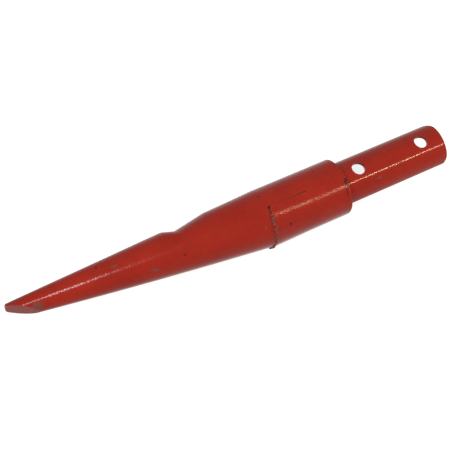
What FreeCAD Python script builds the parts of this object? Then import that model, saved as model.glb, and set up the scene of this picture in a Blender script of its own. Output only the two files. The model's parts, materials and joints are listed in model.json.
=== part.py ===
"""Bolt-on bale spear tip: a round tube drawn out into a one-sided point, with a half-tube tang.

Frame, in millimetres: the origin is on the tube's axis, midway between the two bolt holes. +X
runs out along the tang, -X towards the tip, +Z is up through the tang's crest and its bolt
holes, and the point's straight side faces +Y, so its sloping side faces -Y.
"""
import FreeCAD, Part
import os
from math import ceil, cos, radians, sin, sqrt

V = FreeCAD.Vector
AXIS_X = V(1, 0, 0)
AXIS_Y = V(0, 1, 0)
AXIS_Z = V(0, 0, 1)

# Collar: the full round tube behind the point.
collar_outer_d = 60.3
collar_wall = 6.3
collar_length = 90.0
mouth_chamfer = 1.2

# Point: the same tube, drawn in to a round taper with one nearly straight side.
point_length = 268.5
tip_section_d = 16.0
tip_offset = 14.7
belly = 1.4
bevel_angle = 30.0
tip_nose = 4.0
closed_length = 27.0
bore_end_d = 7.0
point_span = 34.0

# Press mark across the straight side, where the taper was closed: how far ahead of the collar
# its deepest line is, how far it fades out to each side, its depth, and its reach round.
press_mark_ahead = 90.0
press_mark_front = 12.0
press_mark_back = 36.0
press_mark_depth = 5.2
press_mark_half_angle = 75.0

# Front lip of the collar: the half on the sloping side, cut across and slit along both edges
# to let the point be folded in, and left sprung a little outwards.
slit_length = 45.0
slit_offset = 3.0
slit_kerf = 1.0
lip_spread = 2.2
lip_rise = 0.4
lip_corner_r = 5.0
lip_span = 16.0

# Tang: half of a smaller tube, with two bolt holes on its crest. Its outer corner is rounded
# wide on the straight side and only broken on the sloping side.
tang_clearance = 0.5
tang_wall = 4.5
tang_end_gap = 24.5
tang_insert = 40.0
tang_wide_corner_r = 14.0
tang_broken_corner_r = 2.5
hole_d = 14.0
hole_pitch = 78.0
first_hole_gap = 21.5

# Weld beads: the fillet at the tang's back, and the run of drops along the lip's front edge.
tang_weld_rise = 4.6
tang_weld_reach = 4.0
tang_weld_half_angle = 85.0
weld_hollow = 0.36
seam_bead_width = 5.6
seam_bead_rise = 1.9
seam_bead_root = 2.0
seam_drop_pitch = 4.6
seam_weld_start = 24.0

collar_r = collar_outer_d / 2
bore_r = collar_r - collar_wall
mouth_x = -hole_pitch / 2 - first_hole_gap
tang_end_x = hole_pitch / 2 + tang_end_gap
seam_x = mouth_x - collar_length
press_mark_x = seam_x - press_mark_ahead
slit_end_x = seam_x + slit_length
tip_x = seam_x - point_length
tang_r = bore_r - tang_clearance
far = 4 * (collar_length + point_length)


def half_space(point, normal):
    """A large block that fills the side of a plane that the normal points away from."""
    block = Part.makeBox(far, far, far, V(-far / 2, -far / 2, -far))
    block.Placement = FreeCAD.Placement(point, FreeCAD.Rotation(AXIS_Z, normal))
    return block


def ring(outer_r, inner_r, start_x, end_x):
    """A round tube along X."""
    length = end_x - start_x
    outer = Part.makeCylinder(outer_r, length, V(start_x, 0, 0), AXIS_X)
    inner = Part.makeCylinder(inner_r, length, V(start_x, 0, 0), AXIS_X)
    return outer.cut(inner)


def point_section(x):
    """Radius of the point at x, and how far its centre has moved to the straight side."""
    share = (seam_x - x) / point_length
    fullness = belly * 4 * share * (1 - share) / 2
    radius = collar_r + (tip_section_d / 2 - collar_r) * share + fullness
    return radius, tip_offset * share - fullness


def press_mark_at(x):
    """Depth of the press mark at x: a valley with one steep side and one gentle side."""
    ahead = press_mark_x - x
    run = press_mark_front if ahead > 0 else press_mark_back
    return press_mark_depth * max(0.0, 1 - abs(ahead) / run)


def section_wire(x):
    """Outline of the point at x: a round, and a shallower arc where the mark is."""
    radius, centre = point_section(x)
    edge = radians(press_mark_half_angle)
    top = V(x, centre + radius * cos(edge), radius * sin(edge))
    low = V(x, centre + radius * cos(edge), -radius * sin(edge))
    round_back = V(x, centre - radius, 0)
    mark_middle = V(x, centre + radius - press_mark_at(x), 0)
    round_edge = Part.Arc(top, round_back, low).toShape()
    mark_edge = Part.Arc(low, mark_middle, top).toShape()
    return Part.Wire([round_edge, mark_edge])


def stations(corners, longest):
    """The corners in order, with further stations so that no span is longer than the longest."""
    places = [corners[0]]
    for start, end in zip(corners, corners[1:]):
        spans = ceil(abs(end - start) / longest)
        places += [start + (end - start) * (span + 1) / spans for span in range(spans)]
    return places


def point_solid():
    """The outside of the point, from the seam to its nose, as a ruled loft."""
    mark = [press_mark_x + press_mark_back, press_mark_x, press_mark_x - press_mark_front]
    places = stations([seam_x] + mark + [tip_x], point_span)
    return Part.makeLoft([section_wire(x) for x in places], True, True)


def point_bore():
    """The space inside the point: a round taper that ends in solid metal behind the nose."""
    length = point_length - closed_length
    start_r = bore_r - press_mark_depth / 2
    end_r = bore_end_d / 2
    rounds = []
    for x in stations([seam_x + collar_wall, seam_x, seam_x - length], point_span):
        along = max(0.0, (seam_x - x) / length)
        radius = start_r + (end_r - start_r) * along
        centre = V(x, tip_offset * along * length / point_length, 0)
        rounds.append(Part.Wire([Part.makeCircle(radius, centre, AXIS_X)]))
    return Part.makeLoft(rounds, True, True)


def tip_bevel():
    """What the ground bevel takes off the sloping side, leaving a narrow nose at the tip."""
    radius, centre = point_section(tip_x)
    slope = radians(bevel_angle)
    return half_space(V(tip_x, centre + radius - tip_nose, 0), V(sin(slope), cos(slope), 0))


def lip_section(x, spread, rise):
    """Section of the sprung lip at x: an arc that opens out towards both slits."""
    edge_y = -slit_offset - slit_kerf
    outer_z = sqrt(collar_r ** 2 - edge_y ** 2) + spread
    inner_z = sqrt(bore_r ** 2 - edge_y ** 2) + spread
    outer = Part.Arc(V(x, edge_y, outer_z), V(x, -collar_r - rise, 0), V(x, edge_y, -outer_z))
    inner = Part.Arc(V(x, edge_y, -inner_z), V(x, -bore_r - rise, 0), V(x, edge_y, inner_z))
    low = Part.makeLine(V(x, edge_y, -outer_z), V(x, edge_y, -inner_z))
    high = Part.makeLine(V(x, edge_y, inner_z), V(x, edge_y, outer_z))
    return Part.Wire([outer.toShape(), low, inner.toShape(), high])


def corner_tool(corner_x, corner_y, side_x, side_y, radius):
    """An upright tool that rounds one corner seen from above, where the metal lies to side."""
    block = Part.makeBox(radius, radius, far, V(min(corner_x, corner_x + side_x * radius),
                                                min(corner_y, corner_y + side_y * radius),
                                                -far / 2))
    centre = V(corner_x + side_x * radius, corner_y + side_y * radius, -far / 2)
    return block.cut(Part.makeCylinder(radius, far, centre, AXIS_Z))


def lip():
    """Front lip of the collar, with both of its free corners rounded off."""
    sections = []
    for x in stations([slit_end_x, seam_x], lip_span):
        share = (slit_end_x - x) / slit_length
        sections.append(lip_section(x, lip_spread * share, lip_rise * share))
    solid = Part.makeLoft(sections, True, True)
    return solid.cut(corner_tool(seam_x, -slit_offset - slit_kerf, 1, -1, lip_corner_r))


def collar():
    """Full tube, less the half that the lip takes the place of, with an eased mouth edge."""
    tube = ring(collar_r, bore_r, seam_x, mouth_x)
    outer_edges = [edge for edge in tube.Edges if edge.BoundBox.YMax > (collar_r + bore_r) / 2]
    mouth_edges = [edge for edge in outer_edges if edge.BoundBox.XMin > mouth_x - collar_wall]
    tube = tube.makeChamfer(mouth_chamfer, mouth_edges)
    room = Part.makeBox(slit_length, collar_outer_d, collar_outer_d,
                        V(seam_x, -slit_offset - collar_outer_d, -collar_r))
    return tube.cut(room)


def spear_body():
    """Collar, lip and point: one length of tube, hollow from the mouth to near the tip."""
    point = point_solid().cut(tip_bevel())
    whole = collar().fuse([point, lip()]).removeSplitter()
    return whole.cut(point_bore())


def tang():
    """Half tube with its two outer corners rounded and its bolt holes along the crest."""
    tube = ring(tang_r, tang_r - tang_wall, mouth_x - tang_insert, tang_end_x)
    solid = tube.cut(half_space(V(0, 0, 0), AXIS_Z))
    for side, radius in ((1, tang_wide_corner_r), (-1, tang_broken_corner_r)):
        solid = solid.cut(corner_tool(tang_end_x, side * tang_r, -1, -side, radius))
    for x in (-hole_pitch / 2, hole_pitch / 2):
        solid = solid.cut(Part.makeCylinder(hole_d / 2, tang_r + 1, V(x, 0, 0), AXIS_Z))
    return solid


def polygon_face(points):
    """A flat face through points in the plane of the tube's axis and the crest, as (x, z)."""
    corners = [V(x, 0, z) for x, z in points]
    return Part.Face(Part.makePolygon(corners + corners[:1]))


def tang_weld():
    """Hollow fillet bead between the tang's back and the collar's mouth."""
    face = polygon_face([
        (mouth_x, tang_r),
        (mouth_x, tang_r + tang_weld_rise),
        (mouth_x + weld_hollow * tang_weld_reach, tang_r + weld_hollow * tang_weld_rise),
        (mouth_x + tang_weld_reach, tang_r),
    ])
    face.rotate(V(0, 0, 0), AXIS_X, -tang_weld_half_angle)
    return face.revolve(V(0, 0, 0), AXIS_X, 2 * tang_weld_half_angle)


def weld_drop(size, start, turn):
    """One drop of the seam bead, as a stretch of a low ridge round the tube."""
    half = seam_bead_width / 2 * size
    base = collar_r - seam_bead_root
    crown = collar_r + lip_rise + seam_bead_rise * size
    face = polygon_face([
        (seam_x - half, base), (seam_x - half, collar_r), (seam_x - half / 2, crown),
        (seam_x + half / 2, crown), (seam_x + half, collar_r), (seam_x + half, base),
    ])
    face.rotate(V(0, 0, 0), AXIS_X, start)
    return face.revolve(V(0, 0, 0), AXIS_X, turn)


def seam_weld(body):
    """Run of weld drops round the lip's front edge, seated on the tube and the lip."""
    reach = 180 - 2 * seam_weld_start
    drops = round(collar_r * radians(reach) / seam_drop_pitch)
    turn = reach / drops
    pieces = [weld_drop(1 + 0.16 * sin(2.3 * drop), seam_weld_start + turn * drop, turn)
              for drop in range(drops)]
    return pieces[0].fuse(pieces[1:]).cut(body)


def main():
    os.makedirs("parts", exist_ok=True)
    body = spear_body()
    parts = {
        "spear_body": body,
        "tang": tang(),
        "tang_weld": tang_weld(),
        "seam_weld": seam_weld(body),
    }
    for name, shape in parts.items():
        shape.exportStep(os.path.join("parts", name + ".step"))
        print(name, "solids", len(shape.Solids), "valid", shape.isValid(),
              "volume", round(shape.Volume), "faces", len(shape.Faces))


main()
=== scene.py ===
"""Bale spear tip: the painted, welded and worn surfaces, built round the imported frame."""
import json
from math import cos, pi, radians, sin, sqrt, tan

import bpy
import bmesh
import numpy as np
from mathutils import Matrix, Vector, noise

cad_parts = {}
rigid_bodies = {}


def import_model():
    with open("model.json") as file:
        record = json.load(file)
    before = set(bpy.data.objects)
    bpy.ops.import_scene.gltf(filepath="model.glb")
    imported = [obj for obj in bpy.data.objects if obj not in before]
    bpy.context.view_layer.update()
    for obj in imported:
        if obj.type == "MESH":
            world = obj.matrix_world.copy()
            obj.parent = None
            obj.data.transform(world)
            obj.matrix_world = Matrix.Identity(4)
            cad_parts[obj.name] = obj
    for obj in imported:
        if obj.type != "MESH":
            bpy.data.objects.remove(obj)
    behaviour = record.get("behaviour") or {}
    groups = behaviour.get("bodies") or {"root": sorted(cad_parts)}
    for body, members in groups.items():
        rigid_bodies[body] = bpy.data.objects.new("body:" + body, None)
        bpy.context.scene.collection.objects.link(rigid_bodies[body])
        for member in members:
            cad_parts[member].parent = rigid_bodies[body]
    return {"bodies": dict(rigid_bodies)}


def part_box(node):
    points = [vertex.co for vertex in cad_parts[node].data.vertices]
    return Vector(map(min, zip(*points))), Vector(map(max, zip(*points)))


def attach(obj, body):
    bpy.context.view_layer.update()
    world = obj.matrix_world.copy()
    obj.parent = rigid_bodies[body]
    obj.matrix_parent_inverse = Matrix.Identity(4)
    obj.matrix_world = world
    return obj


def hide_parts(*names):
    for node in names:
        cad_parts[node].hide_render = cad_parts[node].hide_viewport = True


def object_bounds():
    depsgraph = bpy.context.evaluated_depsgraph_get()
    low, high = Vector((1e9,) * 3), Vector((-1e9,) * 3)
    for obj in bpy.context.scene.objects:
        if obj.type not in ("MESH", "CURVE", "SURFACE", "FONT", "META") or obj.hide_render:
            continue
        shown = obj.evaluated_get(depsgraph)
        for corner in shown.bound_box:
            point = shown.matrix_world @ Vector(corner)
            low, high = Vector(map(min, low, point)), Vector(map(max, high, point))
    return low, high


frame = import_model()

CAD_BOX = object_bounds()
BODY_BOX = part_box("spear_body")
TANG_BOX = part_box("tang")
SEAM_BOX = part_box("seam_weld")

bl_info = {
    "name": "Bale Spear Tip",
    "version": (1, 0, 0),
    "blender": (4, 5, 0),
    "location": "View3D > Sidebar > Spear",
    "description": "Builds the painted surfaces of a bolt-on bale spear tip round its frame",
    "category": "Object",
}

MM = 0.001
BODY = list(frame["bodies"])[0]
MOUTH_X = BODY_BOX[1].x
TIP_X = BODY_BOX[0].x
SEAM_X = (SEAM_BOX[0].x + SEAM_BOX[1].x) / 2
COLLAR_R = BODY_BOX[1].y
TANG_R = TANG_BOX[1].z
TANG_END = TANG_BOX[1].x
TANG_START = TANG_BOX[0].x

# Where the camera looks, the way it looks back from there, and how it is framed.
VIEW_TARGET = (-0.0630, 0.0, 0.0)
VIEW_TOWARDS = (-0.3486, -0.3601, 0.8654)
VIEW_UNIT = 1.0248 * MM
VIEW_DISTANCE = 1254.95
VIEW_SHIFT = (-114.0, 5.54)
VIEW_TRIM = (0.66, 0.12)
VIEW_ROLL = radians(23.11)
FRAME_WIDTH = 455
SENSOR_WIDTH = 36.0

# Plain colours that no one would change: painted shade in creases and corners, soot, and thin
# dark metal.
CREASE_SHADE = (0.05, 0.012, 0.01, 1)
SOOT = (0.022, 0.010, 0.008, 1)
RUSTY_SCALE = (0.07, 0.03, 0.02, 1)
DULL_METAL = (0.060, 0.034, 0.026, 1)
DARK_SLAG = (0.035, 0.028, 0.020, 1)
WELD_CREASE_SHADE = (0.03, 0.010, 0.008, 1)

FLOOR_HALF = 4.0
FLOOR_GAP = 0.4 * MM
FLOOR_GREY = (0.5, 0.5, 0.5, 1)
FLOOR_GLOW = 0.8
WORLD_FILL = 0.16
BORE_END_GAP = 0.040
LIP_GAP = 0.25 * MM
CAP_REACH = 0.955


# ---------------------------------------------------------------- sizes and colours

def length(name, default, description):
    return bpy.props.FloatProperty(name=name, description=description, default=default,
                                   min=0.0, max=1.0, unit="LENGTH", precision=5)


def angle(name, default, description):
    return bpy.props.FloatProperty(name=name, description=description,
                                   default=radians(default), subtype="ANGLE")


def count(name, default, description):
    return bpy.props.IntProperty(name=name, description=description, default=default, min=1)


def colour(name, default, description):
    return bpy.props.FloatVectorProperty(name=name, description=description, size=3, min=0,
                                         max=1, subtype="COLOR", default=default)


class SpearBodySizes(bpy.types.PropertyGroup):
    """Collar, lip and point."""
    collar_wall: length("Collar wall", 0.0063, "Wall of the collar tube")
    tip_radius: length("Tip radius", 0.008, "Radius of the point's section at the tip")
    tip_offset: length("Tip offset", 0.0147, "How far the tip's centre lies to the straight side")
    belly: length("Belly", 0.0014, "Fullness of the sloping side half way along")
    bevel_slope: angle("Bevel slope", 30, "Slope of the ground face against the axis")
    nose: length("Nose", 0.004, "Height of the blunt nose above the ground face")
    nose_round: length("Nose rounding", 0.0018, "Radius of the nose's worn edge")
    mark_ahead: length("Mark ahead", 0.09, "From the seam to the press mark's deepest line")
    mark_front: length("Mark front", 0.012, "Run of the press mark's steep side")
    mark_back: length("Mark back", 0.036, "Run of the press mark's gentle side")
    mark_depth: length("Mark depth", 0.0052, "Depth of the press mark")
    mark_reach: angle("Mark reach", 75, "How far round the press mark goes to each side")
    slit_length: length("Slit length", 0.045, "Length of each slit beside the lip")
    slit_offset: length("Slit offset", 0.003, "From the tube's middle plane to the slit")
    slit_kerf: length("Slit kerf", 0.0006, "Width of the slit")
    lip_spread: length("Lip spread", 0.0022, "How far the lip stands out at the slit")
    lip_rise: length("Lip rise", 0.0004, "How far the lip stands out opposite the slits")
    lip_corner: length("Lip corner", 0.003, "Radius of the lip's free corners")
    edge_round: length("Edge rounding", 0.0006, "Radius of the painted edges")
    hammering: length("Hammering", 0.00022, "Depth of the hammered unevenness")
    columns: count("Columns", 200, "Faces round the tube")


class TangSizes(bpy.types.PropertyGroup):
    """Half-tube tang with its two bolt holes."""
    wall: length("Wall", 0.0035, "Wall of the half tube")
    wide_corner: length("Wide corner", 0.014, "Radius of the corner on the straight side")
    broken_corner: length("Broken corner", 0.0025, "Radius of the corner on the sloping side")
    hole_radius: length("Hole radius", 0.007, "Radius of the bolt holes")
    hole_spacing: length("Hole spacing", 0.078, "From one bolt hole to the other")
    hole_margin: length("Hole margin", 0.012, "Half width of the denser mesh round a hole")
    edge_round: length("Edge rounding", 0.0005, "Radius of the painted edges")


class WeldSizes(bpy.types.PropertyGroup):
    """The two runs of weld and their spatter."""
    mouth_drops: count("Mouth ripples", 46, "Ripples in the bead at the collar's mouth")
    mouth_reach: angle("Mouth reach", 85, "How far round the mouth bead goes to each side")
    seam_drops: count("Seam drops", 24, "Drops in the run along the lip's front edge")
    seam_reach: angle("Seam reach", 66, "How far round the seam run goes to each side")
    seed: count("Seed", 4, "Seed of the uneven sizes")


class FinishColours(bpy.types.PropertyGroup):
    """Colours of the enamel and what shows where it has gone."""
    enamel: colour("Enamel", (0.335, 0.0190, 0.0085), "Red enamel")
    enamel_deep: colour("Deep enamel", (0.262, 0.0135, 0.0065), "Red enamel where it is thick")
    bare: colour("Bare metal", (0.155, 0.092, 0.062), "Dull metal in the chips")
    scale: colour("Mill scale", (0.030, 0.024, 0.022), "Dark scale inside the tube")
    slag: colour("Slag", (0.125, 0.110, 0.075), "Greenish slag on the seam weld")


# ---------------------------------------------------------------- mesh helpers

def grid_faces(index):
    """Quads between neighbours of a two-way index table."""
    a, b, c, d = index[:-1, :-1], index[1:, :-1], index[1:, 1:], index[:-1, 1:]
    return np.stack([a, b, c, d], -1).reshape(-1, 4)


def walled_mesh(name, outer, inner, quads):
    """Closed mesh from an outer and an inner skin with the same faces, walled at free edges."""
    total = len(outer)
    inside = np.repeat([0.0, 1.0], total)
    quads = [tuple(int(v) for v in quad) for quad in quads]
    edges = {(q[k], q[(k + 1) % 4]) for q in quads for k in range(4)}
    faces = list(quads) + [tuple(v + total for v in reversed(quad)) for quad in quads]
    faces += [(b, a, a + total, b + total) for a, b in sorted(edges) if (b, a) not in edges]
    mesh = bpy.data.meshes.new(name)
    mesh.from_pydata(np.vstack([outer, inner]).tolist(), [], faces)
    mesh.attributes.new("inside", "FLOAT", "POINT").data.foreach_set("value", inside)
    work = bmesh.new()
    work.from_mesh(mesh)
    loose = [v for v in work.verts if not v.link_faces]
    bmesh.ops.delete(work, geom=loose, context="VERTS")
    bmesh.ops.remove_doubles(work, verts=work.verts, dist=1e-6)
    bmesh.ops.dissolve_degenerate(work, edges=work.edges, dist=1e-7)
    bmesh.ops.recalc_face_normals(work, faces=work.faces)
    if work.calc_volume(signed=True) < 0:
        bmesh.ops.reverse_faces(work, faces=work.faces)
    work.to_mesh(mesh)
    work.free()
    return mesh


def link(name, mesh):
    piece = bpy.data.objects.new(name, mesh)
    bpy.context.scene.collection.objects.link(piece)
    return piece


def modifier(piece, kind, **settings):
    added = piece.modifiers.new(kind.lower(), kind)
    for key, value in settings.items():
        setattr(added, key, value)
    return added


def applied(piece):
    """Turns the piece with its modifiers into a plain mesh."""
    graph = bpy.context.evaluated_depsgraph_get()
    done = bpy.data.meshes.new_from_object(piece.evaluated_get(graph))
    old = piece.data
    piece.modifiers.clear()
    piece.data = done
    if old.users == 0:
        bpy.data.meshes.remove(old)
    done.name = piece.name
    return piece


def rounded(piece, width, segments=3):
    """Rounds the sharp edges of the piece and shades it smoothly."""
    modifier(piece, "BEVEL", width=width, segments=segments, limit_method="ANGLE",
             angle_limit=radians(38), use_clamp_overlap=True)
    applied(piece)
    piece.data.shade_smooth()
    modifier(piece, "WEIGHTED_NORMAL", keep_sharp=False, weight=60)
    return applied(piece)


def mark_edges(piece, low=160.0, high=800.0):
    """Stores how sharply each point bends outwards or inwards, for wear and for painted shade in
    creases.
    """
    mesh = piece.data
    points = np.empty(len(mesh.vertices) * 3)
    mesh.vertices.foreach_get("co", points)
    points = points.reshape(-1, 3)
    normals = np.empty(len(mesh.vertices) * 3)
    mesh.vertices.foreach_get("normal", normals)
    normals = normals.reshape(-1, 3)
    pairs = np.empty(len(mesh.edges) * 2, int)
    mesh.edges.foreach_get("vertices", pairs)
    pairs = pairs.reshape(-1, 2)
    step = points[pairs[:, 1]] - points[pairs[:, 0]]
    turn = normals[pairs[:, 1]] - normals[pairs[:, 0]]
    bend = (step * turn).sum(1) / np.maximum((step * step).sum(1), 1e-10)
    for name, sign in (("edge", 1), ("crease_shade", -1)):
        value = np.zeros(len(points))
        for side in (0, 1):
            np.maximum.at(value, pairs[:, side], sign * bend)
        value = np.clip((value - low) / (high - low), 0, 1)
        for _ in range(2):
            spread, hits = value.copy(), np.ones(len(points))
            for side in (0, 1):
                np.add.at(spread, pairs[:, side], value[pairs[:, 1 - side]])
                np.add.at(hits, pairs[:, side], 1)
            value = np.maximum(value * 0.9, spread / hits)
        layer = mesh.attributes.new(name, "FLOAT", "POINT")
        layer.data.foreach_set("value", value.astype(np.float32))


def dress(piece, slot_name, *materials):
    piece.data.materials.clear()
    for material in materials:
        piece.data.materials.append(material)
    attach(piece, BODY)


# ---------------------------------------------------------------- collar, lip and point

def smooth_step(value):
    value = np.clip(value, 0, 1)
    return value * value * (3 - 2 * value)


def section(sizes, x):
    """Radius of the point at x, and how far its centre has moved to the straight side."""
    run = np.clip((SEAM_X - x) / (SEAM_X - TIP_X), 0, None)
    full = sizes.belly * 2 * run * (1 - run)
    return COLLAR_R + (sizes.tip_radius - COLLAR_R) * run + full, sizes.tip_offset * run - full


def press_mark(sizes, x):
    """Depth of the press mark at x, with its corners eased."""
    middle = SEAM_X - sizes.mark_ahead
    total = 0.0
    for shift, weight in ((-1.0, 1), (-0.5, 2), (0, 3), (0.5, 2), (1.0, 1)):
        ahead = middle - x + shift * MM
        run = np.where(ahead > 0, sizes.mark_front, sizes.mark_back)
        total = total + weight * np.clip(1 - np.abs(ahead) / run, 0, None)
    return sizes.mark_depth * total / 9


def skin_point(sizes, x, theta, inset):
    """Points of the tube or point at x and theta, with the press mark's shallower arc."""
    radius, centre = section(sizes, x)
    short = np.clip(1 - (x - TIP_X) / sizes.nose_round, 0, 1)
    radius = radius - inset - sizes.nose_round * (1 - np.sqrt(1 - short ** 2))
    y = centre + radius * np.cos(theta)
    z = radius * np.sin(theta)
    reach = sizes.mark_reach
    depth = press_mark(sizes, x)
    edge_y, edge_z = radius * np.cos(reach), radius * np.sin(reach)
    sag = np.maximum(radius - depth - edge_y, 1e-5)
    big = (edge_z ** 2 + sag ** 2) / (2 * sag)
    middle = radius - depth - big
    opening = np.arcsin(np.clip(edge_z / big, -1, 1))
    turned = (theta + pi) % (2 * pi) - pi
    bow = turned / reach * opening
    inside = (np.abs(turned) < reach) & (depth > 1e-6)
    y = np.where(inside, centre + middle + big * np.cos(bow), y)
    z = np.where(inside, big * np.sin(bow), z)
    return np.stack(np.broadcast_arrays(x, y, z), -1)


def ground_x(sizes, y):
    """Where the tip's surface lies for a given y: the ground face, eased into the nose."""
    top = section(sizes, TIP_X)
    slant = (top[0] + top[1] - sizes.nose - y) / tan(sizes.bevel_slope)
    return TIP_X + (slant + np.sqrt(slant ** 2 + MM ** 2)) / 2


def bevel_reach(sizes, theta):
    """Where the line along the point at theta meets the ground face or the nose, by halving."""
    low = np.full_like(theta, TIP_X)
    high = np.full_like(theta, TIP_X + 0.08)
    for _ in range(40):
        middle = (low + high) / 2
        cut = middle < ground_x(sizes, skin_point(sizes, middle, theta, 0)[..., 1])
        low, high = np.where(cut, middle, low), np.where(cut, high, middle)
    return (low + high) / 2


def lip_point(sizes, x, theta, edge_theta, base_r):
    """Points of the sprung lip: an arc that opens out towards both slits."""
    sprung = np.clip((SEAM_X + sizes.slit_length - x) / sizes.slit_length, 0, 1)
    edge_y = -(sizes.slit_offset + sizes.slit_kerf)
    edge_z = sqrt(base_r ** 2 - edge_y ** 2) + sizes.lip_spread * sprung
    back = base_r + sizes.lip_rise * sprung
    centre = (back ** 2 - edge_y ** 2 - edge_z ** 2) / (-2 * edge_y - 2 * back)
    radius = centre + back
    start = np.arctan2(edge_z, edge_y - centre)
    share_round = (pi - theta) / (pi - edge_theta)
    bow = pi - (pi - start) * share_round
    return np.stack(np.broadcast_arrays(x, centre + radius * np.cos(bow),
                                        radius * np.sin(bow)), -1)


def hammered(points, normals_yz, depth, stretch=1.0):
    """Presses shallow, uneven dents into the points, always inwards."""
    moved = points.copy()
    for k, point in enumerate(points):
        at = Vector((point[0] / stretch, point[1], point[2]))
        dent = noise.noise(at * 45) * 0.6 + noise.noise(at * 110 + Vector((3, 1, 7))) * 0.4
        moved[k, 1:] -= normals_yz[k] * depth[k] * (0.5 + 0.5 * dent)
    return moved


def body_mesh(sizes):
    """Point, collar and lip as one walled sheet with a cut seam and two slits."""
    edge_y = -(sizes.slit_offset + sizes.slit_kerf)
    theta_a = np.arccos(-sizes.slit_offset / COLLAR_R)
    theta_b = np.arccos(edge_y / COLLAR_R)
    half = sizes.columns // 2
    front = int(round(half * theta_a / pi))
    upper = np.concatenate([np.linspace(0, theta_a, front + 1),
                            np.linspace(theta_b, pi, half - front)])
    theta = np.concatenate([upper, 2 * pi - upper[-2:0:-1]])
    columns = len(theta)
    slit_end = SEAM_X + sizes.slit_length
    bore_r = COLLAR_R - sizes.collar_wall

    # Rows from the middle of the ground face out to its edge, then along the point and collar.
    cap_rows, point_rows, slit_rows, back_rows = 18, 200, 32, 32
    cut_x = bevel_reach(sizes, theta)
    rows_outer, rows_inner = [], []
    rim = skin_point(sizes, cut_x, theta, 0)
    face_middle = (rim.max(0) + rim.min(0)) / 2
    bore_end = TIP_X + BORE_END_GAP
    end_section = section(sizes, np.array([bore_end]))
    bore_middle = np.array([bore_end - 0.004, float(end_section[1][0]), 0.0])
    bore_rim = skin_point(sizes, np.full(columns, bore_end), theta, sizes.collar_wall)
    for k in range(cap_rows):
        part = CAP_REACH * k / (cap_rows - 1)
        face = face_middle + (rim - face_middle) * part
        face[:, 0] = ground_x(sizes, face[:, 1])
        rows_outer.append(face)
        rows_inner.append(bore_middle + (bore_rim - bore_middle) * part)
    seam_row = cap_rows + point_rows
    for k in range(point_rows + 1):
        run = 0.25 * k / point_rows + 0.75 * (k / point_rows) ** 2
        x = cut_x + (SEAM_X - cut_x) * run
        rows_outer.append(skin_point(sizes, x, theta, 0))
        x_in = np.full(columns, bore_end + (SEAM_X - bore_end) * run)
        rows_inner.append(skin_point(sizes, x_in, theta, sizes.collar_wall))
    for begin, end, steps in ((SEAM_X, slit_end, slit_rows), (slit_end, MOUTH_X, back_rows)):
        for k in range(1, steps + 1):
            x = np.full(columns, begin + (end - begin) * k / steps)
            rows_outer.append(np.stack([x, COLLAR_R * np.cos(theta),
                                        COLLAR_R * np.sin(theta)], -1))
            rows_inner.append(np.stack([x, bore_r * np.cos(theta), bore_r * np.sin(theta)], -1))
    outer, inner = np.array(rows_outer), np.array(rows_inner)
    rows = len(outer)
    end_row = seam_row + slit_rows
    index = np.arange(rows * columns).reshape(rows, columns)

    # The lip has its own points from the seam to just before the slits' ends.
    lip_columns = np.arange(front + 1, columns - front)
    lip_theta = theta[lip_columns]
    lip_outer, lip_inner = [], []
    for k in range(slit_rows):
        part = k / slit_rows
        for store, base_r in ((lip_outer, COLLAR_R), (lip_inner, bore_r)):
            spot = lip_point(sizes, np.full(len(lip_theta), SEAM_X), lip_theta, theta_b, base_r)
            into = np.clip(sizes.lip_corner - (edge_y - spot[:, 1]), 0, sizes.lip_corner)
            back = sizes.lip_corner - np.sqrt(sizes.lip_corner ** 2 - into ** 2)
            start = SEAM_X + LIP_GAP + back
            x = start + (slit_end - start) * part
            store.append(lip_point(sizes, x, lip_theta, theta_b, base_r))
    lip_first = rows * columns
    lip_index = lip_first + np.arange(slit_rows * len(lip_columns)).reshape(slit_rows, -1)
    lip_index = np.vstack([lip_index, index[end_row, lip_columns]])

    ring = np.hstack([index, index[:, :1]])
    straight = list(range(columns - front, columns)) + list(range(0, front + 1))
    faces = np.vstack([
        grid_faces(ring[:seam_row + 1]),
        grid_faces(index[seam_row:end_row + 1][:, straight]),
        grid_faces(lip_index),
        grid_faces(ring[end_row:]),
    ])
    outer = np.vstack([outer.reshape(-1, 3), np.array(lip_outer).reshape(-1, 3)])
    inner = np.vstack([inner.reshape(-1, 3), np.array(lip_inner).reshape(-1, 3)])

    # Hammered unevenness: none on the ground face, most on the drawn point.
    centre = section(sizes, outer[:, 0])[1]
    away = outer[:, 1:] - np.stack([centre, np.zeros(len(outer))], -1)
    away /= np.maximum(np.linalg.norm(away, axis=1, keepdims=True), 1e-6)
    on_point = smooth_step((SEAM_X + 0.012 - outer[:, 0]) / 0.03)
    depth = sizes.hammering * (0.3 + 0.7 * on_point)
    depth[:cap_rows * columns] = 0
    outer = hammered(outer, away, depth, 1.6)

    # The middle of both caps closes to a point.
    outer[:columns], inner[:columns] = outer[:columns].mean(0), inner[:columns].mean(0)
    return walled_mesh("spear_tube", outer, inner, faces)


# ---------------------------------------------------------------- tang

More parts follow.
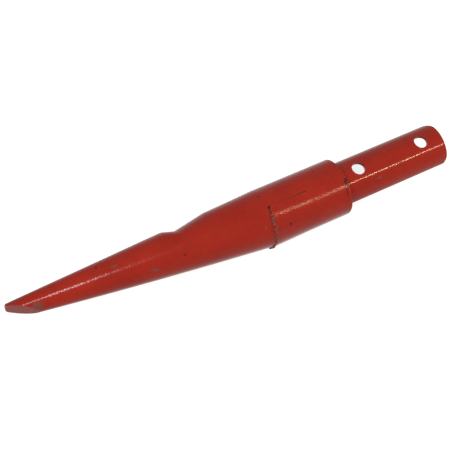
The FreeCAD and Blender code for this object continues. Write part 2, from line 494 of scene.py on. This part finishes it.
def tang_mesh(sizes):
    """Half tube with rounded corners, and rings of faces round each bolt hole."""
    inner_r = TANG_R - sizes.wall
    lines = 72
    phi = np.linspace(-pi / 2, pi / 2, lines + 1)
    block = 14
    low, high = lines // 2 - block, lines // 2 + block
    margin = sizes.hole_margin
    centres = (-sizes.hole_spacing / 2, sizes.hole_spacing / 2)
    stops = [TANG_START, centres[0] - margin, centres[0] + margin,
             centres[1] - margin, centres[1] + margin, TANG_END]
    rows, spans = [stops[0]], []
    for begin, end in zip(stops, stops[1:]):
        steps = max(4, round((end - begin) / 0.0015))
        spans.append((len(rows) - 1, len(rows) - 1 + steps))
        rows += [begin + (end - begin) * (k + 1) / steps for k in range(steps)]
    last_start = spans[-1][0]

    def skin(radius):
        points = np.empty((len(rows), lines + 1, 3))
        y, z = radius * np.sin(phi), radius * np.cos(phi)
        corner = np.where(y > 0, sizes.wide_corner, sizes.broken_corner)
        into = np.clip(np.abs(y) - (TANG_R - corner), 0, corner)
        end = TANG_END - (corner - np.sqrt(corner ** 2 - into ** 2))
        for row, x in enumerate(rows):
            fixed = rows[last_start]
            part = max(0.0, (x - fixed) / (TANG_END - fixed))
            points[row, :, 0] = x if row <= last_start else fixed + (end - fixed) * part
            points[row, :, 1], points[row, :, 2] = y, z
        return points

    outer, inner = skin(TANG_R), skin(inner_r)
    index = np.arange(outer.shape[0] * outer.shape[1]).reshape(outer.shape[:2])
    quads = [grid_faces(index[:, :low + 1]), grid_faces(index[:, high:])]
    for k, (begin, end) in enumerate(spans):
        if k not in (1, 3):
            quads.append(grid_faces(index[begin:end + 1, low:high + 1]))
    skins = [[outer.reshape(-1, 3)], [inner.reshape(-1, 3)]]
    total = index.size
    rings = 5
    for k, centre in zip((1, 3), centres):
        begin, end = spans[k]
        border = np.concatenate([index[begin, low:high], index[begin:end, high],
                                 index[end, high:low:-1], index[end:begin:-1, low]])
        directions = outer.reshape(-1, 3)[border] - np.array([centre, 0, 0])
        bearing = np.arctan2(directions[:, 1], directions[:, 0])
        table = [border]
        for ring in range(1, rings + 1):
            part = ring / rings
            for store, points, radius in ((skins[0], outer, TANG_R),
                                          (skins[1], inner, inner_r)):
                edge = points.reshape(-1, 3)[border]
                x = edge[:, 0] * (1 - part) + (centre + sizes.hole_radius
                                               * np.cos(bearing)) * part
                y = edge[:, 1] * (1 - part) + sizes.hole_radius * np.sin(bearing) * part
                store.append(np.stack([x, y, np.sqrt(radius ** 2 - y ** 2)], -1))
            table.append(total + np.arange(len(border)))
            total += len(border)
        table = np.array(table)
        quads.append(grid_faces(np.hstack([table, table[:, :1]])))
    return walled_mesh("tang_skin", np.vstack(skins[0]), np.vstack(skins[1]), np.vstack(quads))


# ---------------------------------------------------------------- node building

class Tree:
    """Small helper that adds nodes and joins them."""

    def __init__(self, tree):
        self.tree = tree

    def add(self, kind, inputs=None, **settings):
        node = self.tree.nodes.new(kind)
        for key, value in settings.items():
            setattr(node, key, value)
        for key, value in (inputs or {}).items():
            self.put(node.inputs[key], value)
        return node

    def put(self, socket, value):
        if isinstance(value, bpy.types.NodeSocket):
            self.tree.links.new(value, socket)
        else:
            socket.default_value = value

    def math(self, operation, *values, clamp=False):
        node = self.tree.nodes.new("ShaderNodeMath")
        node.operation, node.use_clamp = operation, clamp
        for socket, value in zip(node.inputs, values):
            self.put(socket, value)
        return node.outputs[0]

    def vector(self, operation, *values, out=0):
        node = self.tree.nodes.new("ShaderNodeVectorMath")
        node.operation = operation
        for socket, value in zip(node.inputs, values):
            self.put(socket, value)
        return node.outputs[out]

    def remap(self, value, low, high, to_low=0.0, to_high=1.0, smooth=False):
        node = self.add("ShaderNodeMapRange", {
            "Value": value, "From Min": low, "From Max": high,
            "To Min": to_low, "To Max": to_high})
        if smooth:
            node.interpolation_type = "SMOOTHSTEP"
        return node.outputs[0]

    def mix(self, factor, first, second):
        node = self.tree.nodes.new("ShaderNodeMix")
        node.data_type = "RGBA"
        self.put(node.inputs["Factor"], factor)
        self.put([s for s in node.inputs if s.name == "A" and s.type == "RGBA"][0], first)
        self.put([s for s in node.inputs if s.name == "B" and s.type == "RGBA"][0], second)
        return [s for s in node.outputs if s.type == "RGBA"][0]

    def noise(self, vector, scale, detail=2.0, roughness=0.5):
        return self.add("ShaderNodeTexNoise", {
            "Vector": vector, "Scale": scale, "Detail": detail,
            "Roughness": roughness}).outputs["Fac"]


def group(name, inputs, outputs):
    """New shader node group with named sockets; gives the tree helper and its two ends."""
    tree = bpy.data.node_groups.new(name, "ShaderNodeTree")
    for label, kind, default in inputs:
        socket = tree.interface.new_socket(name=label, in_out="INPUT",
                                           socket_type="NodeSocket" + kind)
        if default is not None:
            socket.default_value = default
    for label, kind in outputs:
        tree.interface.new_socket(name=label, in_out="OUTPUT", socket_type="NodeSocket" + kind)
    helper = Tree(tree)
    return helper, helper.add("NodeGroupInput"), helper.add("NodeGroupOutput")


def paint_film_group():
    """Orange peel, dust nibs and slow changes of tone in sprayed enamel."""
    t, start, end = group("paint_film", [
        ("Vector", "Vector", None), ("Peel", "Float", 1.0), ("Lumps", "Float", 0.0),
    ], [("Height", "Float"), ("Tone", "Float")])
    place = start.outputs["Vector"]
    peel = t.noise(place, 420.0, 2.0, 0.45)
    fine = t.noise(place, 1500.0, 1.0)
    lumps = t.noise(place, 900.0, 3.0, 0.6)
    height = t.math("MULTIPLY", peel, start.outputs["Peel"])
    height = t.math("ADD", height, t.math("MULTIPLY", lumps, start.outputs["Lumps"]))
    height = t.math("ADD", height, t.math("MULTIPLY", fine, 0.06))
    slow = t.noise(place, 26.0, 3.0, 0.55)
    cloud = t.noise(place, 160.0, 2.0, 0.5)
    tone = t.math("ADD", t.math("MULTIPLY", slow, 0.7), t.math("MULTIPLY", cloud, 0.3))
    t.put(end.inputs["Height"], height)
    t.put(end.inputs["Tone"], tone)
    return t.tree


def chip_group():
    """One ragged chip: a mask round a place, longer one way than the other."""
    t, start, end = group("chip", [
        ("Vector", "Vector", None), ("Place", "Vector", (0, 0, 0)),
        ("Half Size", "Vector", (0.002, 0.001, 0.004)), ("Turn", "Float", 0.0),
        ("Ragged", "Float", 0.7),
    ], [("Mask", "Float")])
    rel = t.vector("SUBTRACT", start.outputs["Vector"], start.outputs["Place"])
    turned = t.add("ShaderNodeVectorRotate", {"Vector": rel, "Angle": start.outputs["Turn"]},
                   rotation_type="Z_AXIS").outputs[0]
    scaled = t.vector("DIVIDE", turned, start.outputs["Half Size"])
    reach = t.vector("LENGTH", scaled, out=1)
    ragged = t.noise(start.outputs["Vector"], 900.0, 3.0, 0.65)
    ragged = t.math("MULTIPLY", t.math("SUBTRACT", ragged, 0.5), start.outputs["Ragged"])
    ragged = t.math("MULTIPLY", ragged, 3.0)
    reach = t.math("ADD", reach, ragged)
    t.put(end.inputs["Mask"], t.remap(reach, 1.05, 0.75))
    return t.tree


# Each mark: its place, half its length along X, half its width, its turn and its strength.
CHIPS = [
    (-0.4085, 0.0202, 0.0064, 0.0050, 0.0028, 0.2, 0.55),
    (-0.3921, 0.0053, 0.0069, 0.0055, 0.0035, 0.1, 0.70),
    (-0.3126, 0.0077, 0.0173, 0.0040, 0.0014, 0.1, 0.60),
    (-0.2774, -0.0100, 0.0121, 0.0050, 0.0009, 0.3, 0.75),
    (-0.1604, -0.0195, 0.0216, 0.0015, 0.0015, 0.0, 0.50),
    (-0.0215, -0.0161, 0.0169, 0.0035, 0.0009, 0.0, 0.80),
]
SMEARS = [
    (-0.3280, 0.0144, 0.0151, 0.0013, 0.0011, 0.0, 0.8),
    (-0.2454, -0.0102, 0.0175, 0.0015, 0.0011, 0.0, 0.7),
    (-0.1527, 0.0116, 0.0276, 0.0016, 0.0013, 0.0, 0.7),
    (-0.1338, -0.0247, 0.0181, 0.0014, 0.0014, 0.0, 0.8),
    (-0.0866, 0.0139, 0.0267, 0.0013, 0.0012, 0.0, 0.7),
    (-0.0625, -0.0110, 0.0280, 0.0024, 0.0055, 0.2, 0.75),
    (-0.0645, -0.0190, 0.0235, 0.0012, 0.0050, 0.1, 0.55),
]


def placed_marks(t, place, marks):
    """The largest of the masks of all the marks."""
    mask = 0.0
    for x, y, z, long_half, wide_half, turn, strength in marks:
        node = t.add("ShaderNodeGroup", {
            "Vector": place, "Place": (x, y, z), "Turn": turn,
            "Half Size": (long_half, wide_half, max(long_half, wide_half) + MM)},
            node_tree=bpy.data.node_groups["chip"])
        mask = t.math("MAXIMUM", mask, t.math("MULTIPLY", node.outputs["Mask"], strength))
    return mask


def wear_group():
    """All of the marks in the enamel: placed chips and smears, stray ones and worn edges."""
    t, start, end = group("wear", [
        ("Vector", "Vector", None), ("Edge", "Float", 0.0), ("Amount", "Float", 1.0),
    ], [("Bare", "Float"), ("Smear", "Float")])
    place = start.outputs["Vector"]
    stray = t.remap(t.noise(place, 70.0, 5.0, 0.62), 0.735, 0.75)
    rub = t.noise(place, 260.0, 4.0, 0.6)
    edge = t.math("MULTIPLY", start.outputs["Edge"], t.remap(rub, 0.50, 0.62))
    edge = t.math("MULTIPLY", edge, start.outputs["Amount"])
    bare = t.math("MAXIMUM", edge, stray)
    bare = t.math("MAXIMUM", bare, placed_marks(t, place, CHIPS))
    t.put(end.inputs["Bare"], t.math("MINIMUM", bare, 1.0))
    t.put(end.inputs["Smear"], placed_marks(t, place, SMEARS))
    return t.tree


def enamel_material(name, colours, peel, lumps, rough=0.16):
    """Glossy red enamel over steel, chipped and worn, with painted shade in creases, thinning to
    scale inside the tube.
    """
    material = bpy.data.materials.new(name)
    material.use_nodes = True
    nodes = material.node_tree.nodes
    t = Tree(material.node_tree)
    shader = nodes["Principled BSDF"]
    place = t.add("ShaderNodeTexCoord").outputs["Object"]
    film = t.add("ShaderNodeGroup", {"Vector": place, "Peel": peel, "Lumps": lumps},
                 node_tree=bpy.data.node_groups["paint_film"])
    edge = t.add("ShaderNodeAttribute", attribute_name="edge").outputs["Fac"]
    crease_shade = t.add("ShaderNodeAttribute", attribute_name="crease_shade").outputs["Fac"]
    wear = t.add("ShaderNodeGroup", {"Vector": place, "Edge": edge, "Amount": 0.8},
                 node_tree=bpy.data.node_groups["wear"])
    axes = t.add("ShaderNodeSeparateXYZ", {"Vector": place})
    within = t.add("ShaderNodeAttribute", attribute_name="inside").outputs["Fac"]
    depth_in = t.remap(axes.outputs["X"], MOUTH_X - 0.005, MOUTH_X - 0.05, smooth=True)
    inside = t.math("MULTIPLY", t.remap(within, 0.5, 1.0), depth_in)
    patchy = t.remap(t.noise(place, 90.0, 4.0, 0.6), 0.35, 0.6, 0.55, 1.0)
    inside = t.math("MULTIPLY", inside, patchy)

    tone = t.remap(film.outputs["Tone"], 0.3, 0.7)
    red = t.mix(tone, (*colours.enamel_deep, 1), (*colours.enamel, 1))
    # Painted shade: the red darkens where the surface bends inwards, in creases and hollows.
    red = t.mix(t.math("MULTIPLY", crease_shade, 0.75), red, CREASE_SHADE)
    scale_tone = t.mix(t.noise(place, 200.0, 4.0), (*colours.scale, 1), RUSTY_SCALE)
    bare_tone = t.mix(t.noise(place, 700.0, 3.0), (*colours.bare, 1), DULL_METAL)
    shade = t.mix(inside, red, scale_tone)
    shade = t.mix(wear.outputs["Bare"], shade, bare_tone)
    shade = t.mix(wear.outputs["Smear"], shade, SOOT)
    t.put(shader.inputs["Base Color"], shade)
    dull = t.math("MAXIMUM", wear.outputs["Bare"], inside)
    t.put(shader.inputs["Roughness"], t.remap(dull, 0.0, 1.0, rough, 0.62))
    shader.inputs["Specular IOR Level"].default_value = 0.1
    height = t.math("SUBTRACT", film.outputs["Height"],
                    t.math("MULTIPLY", wear.outputs["Bare"], 1.6))
    bump = t.add("ShaderNodeBump", {"Height": height, "Strength": 0.5, "Distance": 0.00012})
    t.put(shader.inputs["Normal"], bump.outputs["Normal"])
    return material


def weld_material(name, colours, slag_share):
    """Painted weld metal: red over ripples, with slag and dark pits where paint missed, and
    painted shade between the ripples.
    """
    material = bpy.data.materials.new(name)
    material.use_nodes = True
    t = Tree(material.node_tree)
    shader = material.node_tree.nodes["Principled BSDF"]
    place = t.add("ShaderNodeTexCoord").outputs["Object"]
    film = t.add("ShaderNodeGroup", {"Vector": place, "Peel": 1.2, "Lumps": 1.0},
                 node_tree=bpy.data.node_groups["paint_film"])
    crease_shade = t.add("ShaderNodeAttribute", attribute_name="crease_shade").outputs["Fac"]
    missed = t.remap(t.noise(place, 320.0, 4.0, 0.65), 0.62 - 0.22 * slag_share,
                     0.68 - 0.22 * slag_share)
    missed = t.math("MULTIPLY", missed, slag_share)
    red = t.mix(t.remap(film.outputs["Tone"], 0.3, 0.7), (*colours.enamel_deep, 1),
                (*colours.enamel, 1))
    slag = t.mix(t.noise(place, 1100.0, 3.0), (*colours.slag, 1), DARK_SLAG)
    shade = t.mix(missed, red, slag)
    # Painted shade: the colour darkens where the bead bends inwards, between its ripples.
    shade = t.mix(t.math("MULTIPLY", crease_shade, 0.8), shade, WELD_CREASE_SHADE)
    t.put(shader.inputs["Base Color"], shade)
    t.put(shader.inputs["Roughness"], t.remap(missed, 0.0, 1.0, 0.2, 0.7))
    shader.inputs["Specular IOR Level"].default_value = 0.15
    bump = t.add("ShaderNodeBump", {"Height": film.outputs["Height"], "Strength": 0.5,
                                    "Distance": 0.00015})
    t.put(shader.inputs["Normal"], bump.outputs["Normal"])
    return material


# ---------------------------------------------------------------- weld beads

def bead_tree(name):
    """Geometry nodes: drops set along an arc round the tube, each a little different."""
    tree = bpy.data.node_groups.new(name, "GeometryNodeTree")
    for label, kind, default in (
            ("Arc Radius", "Float", 0.02), ("Start", "Float", 0.0), ("Sweep", "Float", 1.0),
            ("Count", "Int", 20), ("Along", "Float", 0.002), ("Out", "Float", 0.002),
            ("Round", "Float", 0.001), ("Unevenness", "Float", 0.2), ("Shift X", "Float", 0.0),
            ("Wander", "Float", 0.0003), ("Seed", "Int", 1), ("Material", "Material", None)):
        socket = tree.interface.new_socket(name=label, in_out="INPUT",
                                           socket_type="NodeSocket" + kind)
        if default is not None:
            socket.default_value = default
    tree.interface.new_socket(name="Geometry", in_out="OUTPUT",
                              socket_type="NodeSocketGeometry")
    t = Tree(tree)
    start = t.add("NodeGroupInput").outputs
    arc = t.add("GeometryNodeCurveArc", {
        "Radius": start["Arc Radius"], "Start Angle": start["Start"],
        "Sweep Angle": start["Sweep"]}, mode="RADIUS")
    spots = t.add("GeometryNodeResampleCurve", {
        "Curve": arc.outputs["Curve"], "Count": start["Count"]}, mode="COUNT")
    tangent = t.add("GeometryNodeInputTangent").outputs[0]
    wander = t.add("FunctionNodeRandomValue", {"Seed": start["Seed"]}, data_type="FLOAT")
    t.put(wander.inputs[2], -1.0)
    t.put(wander.inputs[3], 1.0)
    height = t.math("MULTIPLY", wander.outputs[1], start["Wander"])
    lift = t.add("ShaderNodeCombineXYZ", {"Z": height}).outputs[0]
    moved = t.add("GeometryNodeSetPosition", {"Geometry": spots.outputs[0], "Offset": lift})
    turn = t.add("FunctionNodeAlignRotationToVector", {"Vector": tangent}, axis="Y",
                 pivot_axis="Z")
    ball = t.add("GeometryNodeMeshIcoSphere", {"Radius": 1.0, "Subdivisions": 3})
    size = t.add("ShaderNodeCombineXYZ", {"X": start["Out"], "Y": start["Round"],
                                          "Z": start["Along"]}).outputs[0]
    vary = t.add("FunctionNodeRandomValue", {"Seed": t.math("ADD", start["Seed"], 7.0)},
                 data_type="FLOAT")
    t.put(vary.inputs[2], t.math("SUBTRACT", 1.0, start["Unevenness"]))
    t.put(vary.inputs[3], 1.0)
    drops = t.add("GeometryNodeInstanceOnPoints", {
        "Points": moved.outputs[0], "Instance": ball.outputs[0], "Rotation": turn.outputs[0],
        "Scale": t.vector("SCALE", size)})
    t.put(drops.inputs["Scale"].links[0].from_node.inputs["Scale"], vary.outputs[1])
    placed = t.add("GeometryNodeTransform", {
        "Geometry": drops.outputs[0], "Rotation": (0.0, pi / 2, 0.0),
        "Translation": t.add("ShaderNodeCombineXYZ", {"X": start["Shift X"]}).outputs[0]})
    real = t.add("GeometryNodeRealizeInstances", {"Geometry": placed.outputs[0]})
    dressed = t.add("GeometryNodeSetMaterial", {
        "Geometry": real.outputs[0], "Material": start["Material"]})
    t.put(t.add("NodeGroupOutput").inputs[0], dressed.outputs[0])
    return tree


def bead(name, tree, voxel, settings):
    """A weld bead: drops from the tree, melted into one lumpy run and made a plain mesh."""
    piece = link(name, bpy.data.meshes.new(name))
    nodes = modifier(piece, "NODES", node_group=tree)
    for item in tree.interface.items_tree:
        if item.in_out == "INPUT" and item.name in settings:
            nodes[item.identifier] = settings[item.name]
    modifier(piece, "REMESH", mode="VOXEL", voxel_size=voxel)
    modifier(piece, "SMOOTH", factor=0.5, iterations=2)
    applied(piece)
    piece.data.shade_smooth()
    return piece


# ---------------------------------------------------------------- operators

class SPEAR_OT_materials(bpy.types.Operator):
    """Build the enamel, weld and scale finishes"""
    bl_idname = "spear.materials"
    bl_label = "Finishes"

    def execute(self, context):
        colours = context.scene.spear_colours
        paint_film_group()
        chip_group()
        wear_group()
        enamel_material("enamel_tube", colours, 2.0, 0.6)
        enamel_material("enamel_tang", colours, 0.5, 0.05, 0.12)
        weld_material("weld_mouth", colours, 0.12)
        weld_material("weld_seam", colours, 0.75)
        return {"FINISHED"}


class SPEAR_OT_body(bpy.types.Operator):
    """Build the collar, its sprung lip and the one-sided point"""
    bl_idname = "spear.body"
    bl_label = "Collar and point"

    def execute(self, context):
        sizes = context.scene.spear_body
        piece = rounded(link("spear_tube", body_mesh(sizes)), sizes.edge_round)
        mark_edges(piece)
        dress(piece, "red_paint", bpy.data.materials["enamel_tube"])
        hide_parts("spear_body")
        return {"FINISHED"}


class SPEAR_OT_tang(bpy.types.Operator):
    """Build the half-tube tang with its two bolt holes"""
    bl_idname = "spear.tang"
    bl_label = "Tang"

    def execute(self, context):
        sizes = context.scene.spear_tang
        piece = rounded(link("tang_skin", tang_mesh(sizes)), sizes.edge_round)
        mark_edges(piece)
        dress(piece, "red_paint", bpy.data.materials["enamel_tang"])
        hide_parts("tang")
        return {"FINISHED"}


class SPEAR_OT_welds(bpy.types.Operator):
    """Lay the weld bead at the collar's mouth and the run along the lip's front edge"""
    bl_idname = "spear.welds"
    bl_label = "Welds"

    def execute(self, context):
        sizes = context.scene.spear_welds
        tree = bead_tree("weld_run")
        mouth = bead("mouth_bead", tree, 0.00035, {
            "Arc Radius": TANG_R + 0.5 * MM, "Start": pi - sizes.mouth_reach,
            "Sweep": 2 * sizes.mouth_reach, "Count": sizes.mouth_drops,
            "Along": 3.4 * MM, "Out": 3.6 * MM, "Round": 1.5 * MM, "Unevenness": 0.2,
            "Shift X": MOUTH_X, "Wander": 0.35 * MM, "Seed": sizes.seed,
            "Material": bpy.data.materials["weld_mouth"]})
        mark_edges(mouth, 250.0, 1500.0)
        dress(mouth, "weld_paint", bpy.data.materials["weld_mouth"])
        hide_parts("tang_weld")
        seam = bead("seam_run", tree, 0.0003, {
            "Arc Radius": COLLAR_R + 0.1 * MM, "Start": 1.5 * pi - sizes.seam_reach,
            "Sweep": 2 * sizes.seam_reach, "Count": sizes.seam_drops,
            "Along": 2.6 * MM, "Out": 2.0 * MM, "Round": 2.3 * MM, "Unevenness": 0.62,
            "Shift X": SEAM_X, "Wander": 0.9 * MM, "Seed": sizes.seed + 3,
            "Material": bpy.data.materials["weld_seam"]})
        mark_edges(seam, 250.0, 1500.0)
        dress(seam, "weld_paint", bpy.data.materials["weld_seam"])
        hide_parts("seam_weld")
        return {"FINISHED"}


def area_lamp(name, place, aim, along, size_x, size_y, watts, tint):
    data = bpy.data.lights.new(name, "AREA")
    data.shape, data.size, data.size_y = "RECTANGLE", size_x, size_y
    data.energy, data.color = watts, tint
    lamp = bpy.data.objects.new(name, data)
    bpy.context.scene.collection.objects.link(lamp)
    lamp.location = place
    lamp.rotation_mode = "QUATERNION"
    back = (Vector(place) - Vector(aim)).normalized()
    side = Vector(along)
    side = (side - back * side.dot(back)).normalized()
    lamp.rotation_quaternion = Matrix((side, back.cross(side), back)).transposed().to_quaternion()
    return lamp


# Each lamp: its place and aim, the way its long side runs, its sides, its power and tint.
MIDDLE = (-0.17, 0.0, 0.0)
LAMPS = [
    ("lamp_tip_side", (-1.30, -0.35, 1.35), MIDDLE, (1, 0, 0), 0.7, 0.7, 13.5, (1, 1, 1)),
    ("lamp_tang_side", (1.25, -0.55, 1.15), MIDDLE, (1, 0, 0), 0.6, 0.6, 6.0, (1, 1, 1)),
    ("strip_tang", (0.655, -0.725, 1.05), (0.0, -0.011, 0.02), (1, -0.1, 0), 0.34, 0.03, 6.5,
     (1.0, 0.80, 0.50)),
    ("strip_tip", (-0.372, -0.205, 1.05), (-0.38, 0.008, 0.012), (0.5, -0.83, 0), 0.22, 0.03,
     5.0, (0.90, 0.95, 1.0)),
]


def seen(t):
    """One for rays that come from the camera or from a mirrored or clear surface."""
    path = t.add("ShaderNodeLightPath").outputs
    mirrored = t.math("MAXIMUM", path["Is Camera Ray"], path["Is Glossy Ray"])
    return t.math("MAXIMUM", mirrored, path["Is Transmission Ray"])


class SPEAR_OT_stage(bpy.types.Operator):
    """Set the pale floor, the lamps, the background and the camera"""
    bl_idname = "spear.stage"
    bl_label = "Stage"

    def execute(self, context):
        scene = context.scene
        floor_z = CAD_BOX[0].z - FLOOR_GAP
        mesh = bpy.data.meshes.new("floor")
        corners = ((-1, -1), (1, -1), (1, 1), (-1, 1))
        mesh.from_pydata([(x * FLOOR_HALF, y * FLOOR_HALF, floor_z) for x, y in corners], [],
                         [(0, 1, 2, 3)])
        floor = link("floor", mesh)
        material = bpy.data.materials.new("pale_floor")
        material.use_nodes = True
        t = Tree(material.node_tree)
        shader = material.node_tree.nodes["Principled BSDF"]
        shader.inputs["Base Color"].default_value = FLOOR_GREY
        shader.inputs["Roughness"].default_value = 0.9
        shader.inputs["Specular IOR Level"].default_value = 0.0
        shader.inputs["Emission Color"].default_value = (1, 1, 1, 1)
        t.put(shader.inputs["Emission Strength"], t.math("MULTIPLY", seen(t), FLOOR_GLOW))
        mesh.materials.append(material)

        world = bpy.data.worlds.new("studio")
        world.use_nodes = True
        scene.world = world
        t = Tree(world.node_tree)
        back = world.node_tree.nodes["Background"]
        t.put(back.inputs["Strength"], t.remap(seen(t), 0.0, 1.0, WORLD_FILL, 1.0))
        back.inputs["Color"].default_value = (1, 1, 1, 1)

        towards = Vector(VIEW_TOWARDS).normalized()
        along = Vector((1, 0, 0))
        along = (along - towards * along.dot(towards)).normalized()
        across = towards.cross(along)
        right = along * cos(VIEW_ROLL) - across * sin(VIEW_ROLL)
        up = along * sin(VIEW_ROLL) + across * cos(VIEW_ROLL)
        data = bpy.data.cameras.new("camera")
        data.sensor_width = SENSOR_WIDTH
        data.lens = VIEW_DISTANCE / FRAME_WIDTH * SENSOR_WIDTH
        data.clip_start, data.clip_end = 0.05, 50.0
        camera = bpy.data.objects.new("camera", data)
        scene.collection.objects.link(camera)
        camera.location = Vector(VIEW_TARGET) + VIEW_UNIT * (
            VIEW_SHIFT[0] * along + VIEW_SHIFT[1] * across + VIEW_DISTANCE * towards
            + VIEW_TRIM[0] * right + VIEW_TRIM[1] * up)
        turn = Matrix((right, up, towards)).transposed()
        camera.rotation_mode = "QUATERNION"
        camera.rotation_quaternion = turn.to_quaternion()
        scene.camera = camera

        for lamp in LAMPS:
            area_lamp(*lamp)
        scene.view_settings.view_transform = "Standard"
        return {"FINISHED"}


class SPEAR_PT_panel(bpy.types.Panel):
    """Buttons that build each part of the spear tip"""
    bl_idname = "SPEAR_PT_panel"
    bl_label = "Bale Spear Tip"
    bl_space_type = "VIEW_3D"
    bl_region_type = "UI"
    bl_category = "Spear"

    def draw(self, context):
        for operator in OPERATORS:
            self.layout.operator(operator.bl_idname)
        for group_name, label in GROUPS:
            box = self.layout.box()
            box.label(text=label)
            owner = getattr(context.scene, group_name)
            for name in owner.__annotations__:
                box.prop(owner, name)


OPERATORS = (SPEAR_OT_materials, SPEAR_OT_body, SPEAR_OT_tang, SPEAR_OT_welds, SPEAR_OT_stage)
GROUPS = (("spear_body", "Collar and point"), ("spear_tang", "Tang"),
          ("spear_welds", "Welds"), ("spear_colours", "Colours"))
SETTINGS = (("spear_body", SpearBodySizes), ("spear_tang", TangSizes),
            ("spear_welds", WeldSizes), ("spear_colours", FinishColours))


def register():
    for name, owner in SETTINGS:
        bpy.utils.register_class(owner)
        setattr(bpy.types.Scene, name, bpy.props.PointerProperty(type=owner))
    for owner in OPERATORS + (SPEAR_PT_panel,):
        bpy.utils.register_class(owner)


def unregister():
    for owner in reversed(OPERATORS + (SPEAR_PT_panel,)):
        bpy.utils.unregister_class(owner)
    for name, owner in reversed(SETTINGS):
        delattr(bpy.types.Scene, name)
        bpy.utils.unregister_class(owner)


def main():
    register()
    for operator in OPERATORS:
        group_name, call = operator.bl_idname.split(".")
        getattr(getattr(bpy.ops, group_name), call)()


if __name__ == "__main__":
    main()
